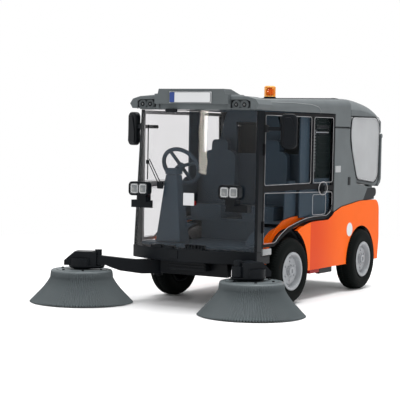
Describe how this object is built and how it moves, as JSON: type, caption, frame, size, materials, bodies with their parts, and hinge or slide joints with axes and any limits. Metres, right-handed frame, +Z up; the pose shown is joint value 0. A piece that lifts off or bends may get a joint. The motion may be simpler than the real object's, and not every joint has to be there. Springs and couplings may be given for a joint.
{
  "type": "toy street sweeper",
  "caption": "Play-size compact street sweeper with a glazed cab, opening doors, swinging side brushes and a tipping hopper.",
  "frame": {"origin": "on the ground below the middle of the wheelbase, in the vehicle's middle plane", "axes": "+X to the vehicle's left, -Y to its front, +Z up"},
  "size_m": [0.2074, 0.2901, 0.1583],
  "materials": {
    "orange_body": "glossy moulded",
    "grey_roof": "satin moulded",
    "light_panel": "satin moulded",
    "black_plastic": "satin moulded",
    "interior": "matt moulded",
    "clear_plastic": "clear moulding",
    "lamp_clear": "clear moulding",
    "beacon_orange": "clear orange moulding",
    "plate_white": "satin",
    "rim_grey": "satin moulded",
    "tyre_rubber": "matt",
    "brush_grey": "satin moulded",
    "axle_steel": "satin"
  },
  "bodies": {
    "vehicle": {"beacon_base": "black_plastic", "beacon_lens": "beacon_orange", "body_shell": "orange_body", "cab_floor": "interior", "cab_pillars": "black_plastic", "cab_roof": "grey_roof", "chassis": "black_plastic", "corner_lamps": "lamp_clear", "front_axle": "black_plastic", "front_bumper": "black_plastic", "headlamp_left": "black_plastic", "headlamp_lenses": "lamp_clear", "headlamp_right": "black_plastic", "louvre_panels": "black_plastic", "number_plate": "plate_white", "rear_axle": "black_plastic", "rear_fairing": "grey_roof", "roof_lamps": "lamp_clear", "seat_left": "interior", "seat_right": "interior", "steering_column": "interior", "steering_wheel": "interior", "suction_mouth": "black_plastic", "tip_brackets": "black_plastic", "wheel_wells": "orange_body", "windscreen": "clear_plastic", "wiper": "black_plastic"},
    "wheel_front_left": {"rim_front_left": "rim_grey", "tyre_front_left": "tyre_rubber"},
    "wheel_front_right": {"rim_front_right": "rim_grey", "tyre_front_right": "tyre_rubber"},
    "wheel_rear_left": {"rim_rear_left": "rim_grey", "tyre_rear_left": "tyre_rubber"},
    "wheel_rear_right": {"rim_rear_right": "rim_grey", "tyre_rear_right": "tyre_rubber"},
    "knuckle_left": {"knuckle_left": "black_plastic"},
    "door_left": {"door_frame_left": "black_plastic", "door_glass_left": "clear_plastic", "mirror_left": "black_plastic"},
    "arm_left": {"arm_left": "black_plastic"},
    "head_left": {"brush_head_left": "black_plastic"},
    "brush_left": {"brush_plate_left": "brush_grey", "bristles_left": "brush_grey"},
    "knuckle_right": {"knuckle_right": "black_plastic"},
    "door_right": {"door_frame_right": "black_plastic", "door_glass_right": "clear_plastic", "mirror_right": "black_plastic"},
    "arm_right": {"arm_right": "black_plastic"},
    "head_right": {"brush_head_right": "black_plastic"},
    "brush_right": {"brush_plate_right": "brush_grey", "bristles_right": "brush_grey"},
    "hopper": {"hopper_shell": "grey_roof", "hopper_sides": "light_panel", "hopper_roof": "grey_roof"},
    "flap": {"hopper_flap": "grey_roof"}
  },
  "joints": [
    {"name": "steer_left", "type": "hinge", "parent": "vehicle", "child": "knuckle_left", "pos_m": [0.043, -0.0625, 0.0242], "axis": [0, 0, 1], "range_deg": [-16, 24]},
    {"name": "roll_front_left", "type": "hinge", "parent": "knuckle_left", "child": "wheel_front_left", "pos_m": [0.043, -0.0625, 0.0242], "axis": [0.9977, -0.068, 0], "continuous": true},
    {"name": "roll_rear_left", "type": "hinge", "parent": "vehicle", "child": "wheel_rear_left", "pos_m": [0.0469, 0.0625, 0.0242], "axis": [1, 0, 0], "continuous": true},
    {"name": "door_left", "type": "hinge", "parent": "vehicle", "child": "door_left", "pos_m": [0.0504, -0.1048, 0.09], "axis": [0, 0, -1], "range_deg": [0, 65]},
    {"name": "arm_left", "type": "hinge", "parent": "vehicle", "child": "arm_left", "pos_m": [0.034, -0.106, 0.026], "axis": [0, 0, -1], "range_deg": [-33.3, 11.7]},
    {"name": "head_left", "type": "hinge", "parent": "arm_left", "child": "head_left", "pos_m": [0.05426, -0.14629, 0.03], "axis": [0, 0, 1], "range_deg": [-127.7, 2.3]},
    {"name": "brush_left", "type": "hinge", "parent": "head_left", "child": "brush_left", "pos_m": [0.05945, -0.13547, 0.022], "axis": [0, 0, 1], "continuous": true},
    {"name": "steer_right", "type": "hinge", "parent": "vehicle", "child": "knuckle_right", "pos_m": [-0.043, -0.0625, 0.0242], "axis": [0, 0, 1], "range_deg": [-16, 24]},
    {"name": "roll_front_right", "type": "hinge", "parent": "knuckle_right", "child": "wheel_front_right", "pos_m": [-0.043, -0.0625, 0.0242], "axis": [0.9977, -0.068, 0], "continuous": true},
    {"name": "roll_rear_right", "type": "hinge", "parent": "vehicle", "child": "wheel_rear_right", "pos_m": [-0.0469, 0.0625, 0.0242], "axis": [1, 0, 0], "continuous": true},
    {"name": "door_right", "type": "hinge", "parent": "vehicle", "child": "door_right", "pos_m": [-0.0504, -0.1048, 0.09], "axis": [0, 0, 1], "range_deg": [0, 65]},
    {"name": "arm_right", "type": "hinge", "parent": "vehicle", "child": "arm_right", "pos_m": [-0.034, -0.106, 0.026], "axis": [0, 0, 1], "range_deg": [-20.9, 24.1]},
    {"name": "head_right", "type": "hinge", "parent": "arm_right", "child": "head_right", "pos_m": [-0.06244, -0.141, 0.03], "axis": [0, 0, -1], "range_deg": [-27.5, 17.5]},
    {"name": "brush_right", "type": "hinge", "parent": "head_right", "child": "brush_right", "pos_m": [-0.07346, -0.14577, 0.022], "axis": [0, 0, 1], "continuous": true},
    {"name": "hopper_tip", "type": "hinge", "parent": "vehicle", "child": "hopper", "pos_m": [0, 0.0904, 0.077], "axis": [-1, 0, 0], "range_deg": [0, 45]},
    {"name": "hopper_flap", "type": "hinge", "parent": "hopper", "child": "flap", "pos_m": [0, 0.105, 0.1227], "axis": [1, 0, 0], "range_deg": [0, 60]}
  ],
  "couplings": [
    {"joint": "steer_right", "follows": "steer_left", "ratio": 1}
  ]
}
